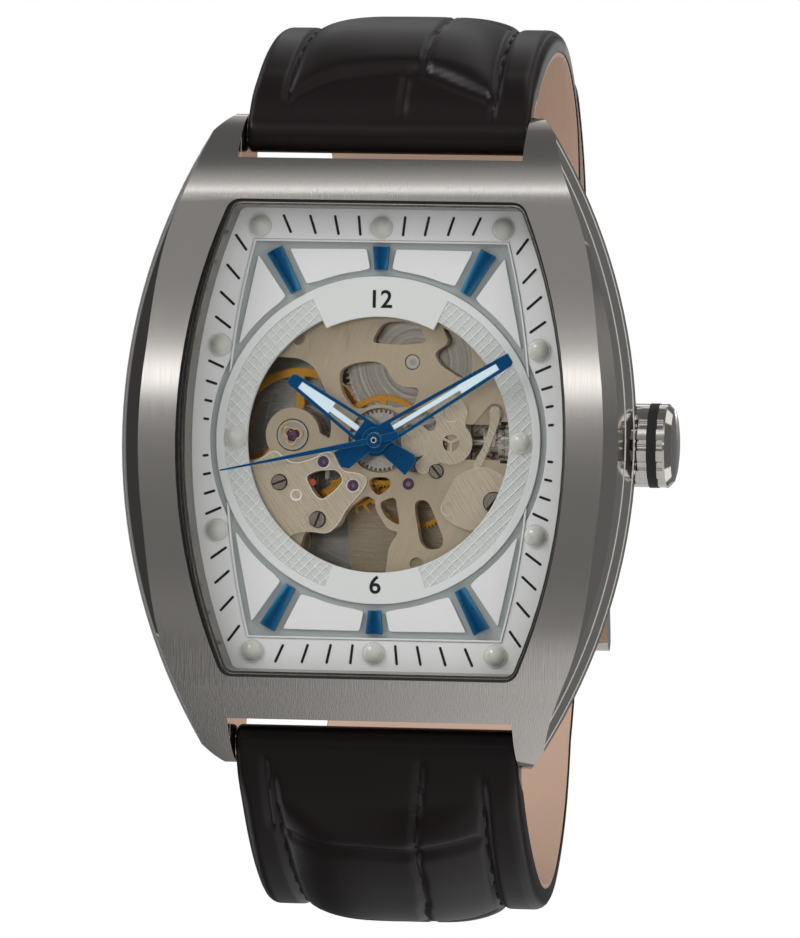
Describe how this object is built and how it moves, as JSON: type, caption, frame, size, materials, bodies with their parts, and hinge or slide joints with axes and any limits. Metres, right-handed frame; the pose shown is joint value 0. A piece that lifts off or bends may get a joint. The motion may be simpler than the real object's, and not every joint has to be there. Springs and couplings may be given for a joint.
{
  "type": "skeleton wristwatch",
  "caption": "Wristwatch with a barrel-shaped steel case, an open dial over its working train, faceted blue hands and a padded leather strap on a pin buckle.",
  "frame": {"origin": "middle of the case back's outer face", "axes": "+X toward the crown, +Z toward 12 o'clock, -Y out of the dial, +Y into the wrist loop"},
  "size_m": [0.0427, 0.0537, 0.0709],
  "materials": {
    "case_steel": "polished and satin steel",
    "small_steel": "satin steel",
    "rehaut_steel": "satin steel",
    "rotor_steel": "satin steel, circular grain",
    "crystal": "clear, coated",
    "gasket_rubber": "matte",
    "strap_leather": "large square scales, satin",
    "strap_lining": "smooth matte",
    "dial_silver": "silvered, satin",
    "blue_metal": "gloss blue",
    "lume": "pale, matte",
    "nickel_silver": "grained nickel plate",
    "gilt_brass": "satin gilt",
    "ruby": "polished red stone"
  },
  "bodies": {
    "watch": {"case_middle": "case_steel", "crystal": "crystal", "crystal_gasket": "gasket_rubber", "rehaut": "rehaut_steel", "case_back": "case_steel", "back_window": "crystal", "case_back_screws": "small_steel", "crown_tube": "small_steel", "spring_bars": "small_steel", "strap_12": "strap_leather", "strap_12_lining": "strap_lining", "strap_6": "strap_leather", "strap_6_lining": "strap_lining", "keeper_fixed": "strap_leather", "buckle_bar": "small_steel", "dial_plate": "dial_silver", "dial_ring": "dial_silver", "dial_frame": "dial_silver", "hour_markers": "blue_metal", "lume_pips": "lume", "movement_holder": "dial_silver", "main_plate": "nickel_silver", "train_cover": "nickel_silver", "keyless_cover": "nickel_silver", "setting_spring_plate": "nickel_silver", "pallet_bridge": "nickel_silver", "hairspring": "small_steel", "balance_cock": "nickel_silver", "barrel_bridge": "nickel_silver", "train_bridge": "nickel_silver", "movement_jewels": "ruby", "movement_screws": "small_steel"},
    "seconds": {"fourth_wheel": "gilt_brass", "second_hand": "blue_metal"},
    "third": {"third_wheel": "gilt_brass"},
    "centre": {"centre_wheel": "gilt_brass", "cannon_pinion": "small_steel", "minute_hand": "blue_metal", "minute_hand_lume": "lume"},
    "minute_works": {"minute_wheel": "small_steel"},
    "hours": {"hour_wheel": "gilt_brass", "hour_hand": "blue_metal", "hour_hand_lume": "lume"},
    "barrel": {"barrel": "gilt_brass"},
    "escape": {"escape_wheel": "gilt_brass"},
    "pallet": {"pallet_fork": "small_steel"},
    "balance": {"balance_wheel": "gilt_brass"},
    "rotor": {"rotor": "rotor_steel"},
    "winding": {"winding_pinion": "small_steel"},
    "crown": {"crown": "case_steel", "crown_ring": "gasket_rubber", "winding_stem": "small_steel"},
    "clutch": {"sliding_clutch": "small_steel"},
    "crown_wheel": {"crown_wheel": "small_steel"},
    "ratchet": {"ratchet_wheel": "small_steel"},
    "lever": {"setting_lever": "small_steel"},
    "yoke": {"yoke": "small_steel"},
    "buckle": {"buckle_frame": "case_steel"},
    "tongue": {"buckle_tongue": "case_steel"},
    "keeper": {"keeper_sliding": "strap_leather"}
  },
  "joints": [
    {"name": "second_spin", "type": "hinge", "parent": "watch", "child": "seconds", "pos_m": [0, -0.003, 0], "axis": [0, 1, 0], "continuous": true},
    {"name": "third_spin", "type": "hinge", "parent": "watch", "child": "third", "pos_m": [0.00222, -0.004, -0.0033], "axis": [0, 1, 0], "continuous": true},
    {"name": "centre_spin", "type": "hinge", "parent": "watch", "child": "centre", "pos_m": [0, -0.005, 0], "axis": [0, 1, 0], "continuous": true},
    {"name": "minute_wheel_spin", "type": "hinge", "parent": "watch", "child": "minute_works", "pos_m": [0.00283, -0.0065, 0], "axis": [0, 1, 0], "continuous": true},
    {"name": "hour_spin", "type": "hinge", "parent": "watch", "child": "hours", "pos_m": [0, -0.007, 0], "axis": [0, 1, 0], "continuous": true},
    {"name": "barrel_spin", "type": "hinge", "parent": "watch", "child": "barrel", "pos_m": [0.00236, -0.0047, 0.00605], "axis": [0, 1, 0], "continuous": true},
    {"name": "escape_spin", "type": "hinge", "parent": "watch", "child": "escape", "pos_m": [-0.00203, -0.0046, -0.0035], "axis": [0, 1, 0], "continuous": true},
    {"name": "pallet_swing", "type": "hinge", "parent": "watch", "child": "pallet", "pos_m": [-0.00438, -0.0047, -0.00172], "axis": [0, 1, 0], "range_deg": [-5, 5]},
    {"name": "balance_swing", "type": "hinge", "parent": "watch", "child": "balance", "pos_m": [-0.00684, -0.0038, 0.0003], "axis": [0, 1, 0], "range_deg": [-270, 270], "stiffness_Nm_per_rad": 0.0000009},
    {"name": "rotor_spin", "type": "hinge", "parent": "watch", "child": "rotor", "pos_m": [0, -0.0017, 0], "axis": [0, 1, 0], "continuous": true},
    {"name": "crown_turn", "type": "hinge", "parent": "watch", "child": "winding", "pos_m": [0.0099, -0.00515, 0], "axis": [1, 0, 0], "continuous": true},
    {"name": "crown_pull", "type": "slide", "parent": "winding", "child": "crown", "axis": [1, 0, 0], "range_m": [0, 0.001]},
    {"name": "clutch_slide", "type": "slide", "parent": "winding", "child": "clutch", "axis": [1, 0, 0], "range_m": [-0.00061, 0.00001]},
    {"name": "crown_wheel_spin", "type": "hinge", "parent": "watch", "child": "crown_wheel", "pos_m": [0.0069, -0.0036, 0], "axis": [0, 1, 0], "continuous": true},
    {"name": "ratchet_spin", "type": "hinge", "parent": "watch", "child": "ratchet", "pos_m": [0.00236, -0.0036, 0.00605], "axis": [0, 1, 0], "continuous": true},
    {"name": "setting_lever_turn", "type": "hinge", "parent": "watch", "child": "lever", "pos_m": [0.0112, -0.0073, 0.0024], "axis": [0, 1, 0], "range_deg": [-25, 0.1]},
    {"name": "yoke_turn", "type": "hinge", "parent": "watch", "child": "yoke", "pos_m": [0.00884, -0.007, 0.00222], "axis": [0, 1, 0], "range_deg": [-0.1, 15.5]},
    {"name": "buckle_tilt", "type": "hinge", "parent": "watch", "child": "buckle", "pos_m": [0, 0.0353, -0.0069], "axis": [1, 0, 0], "range_deg": [-1, 6]},
    {"name": "tongue_tilt", "type": "hinge", "parent": "buckle", "child": "tongue", "pos_m": [0, 0.0353, -0.0069], "axis": [1, 0, 0], "range_deg": [0, 8]},
    {"name": "keeper_slide", "type": "slide", "parent": "watch", "child": "keeper", "axis": [0, 0, 1], "range_m": [-0.002, 0.002]}
  ],
  "couplings": [
    {"joint": "third_spin", "follows": "second_spin", "ratio": -0.13333},
    {"joint": "centre_spin", "follows": "second_spin", "ratio": 0.016667},
    {"joint": "minute_wheel_spin", "follows": "second_spin", "ratio": -0.0055556},
    {"joint": "hour_spin", "follows": "second_spin", "ratio": 0.0013889},
    {"joint": "barrel_spin", "follows": "second_spin", "ratio": -0.0028455},
    {"joint": "escape_spin", "follows": "second_spin", "ratio": -12},
    {"joint": "crown_wheel_spin", "follows": "crown_turn", "ratio": -0.46429},
    {"joint": "ratchet_spin", "follows": "crown_turn", "ratio": 0.27083},
    {"joint": "clutch_slide", "follows": "crown_pull", "ratio": -0.6},
    {"joint": "setting_lever_turn", "follows": "crown_pull", "rad_per_m": -434.1},
    {"joint": "yoke_turn", "follows": "crown_pull", "rad_per_m": 267}
  ]
}
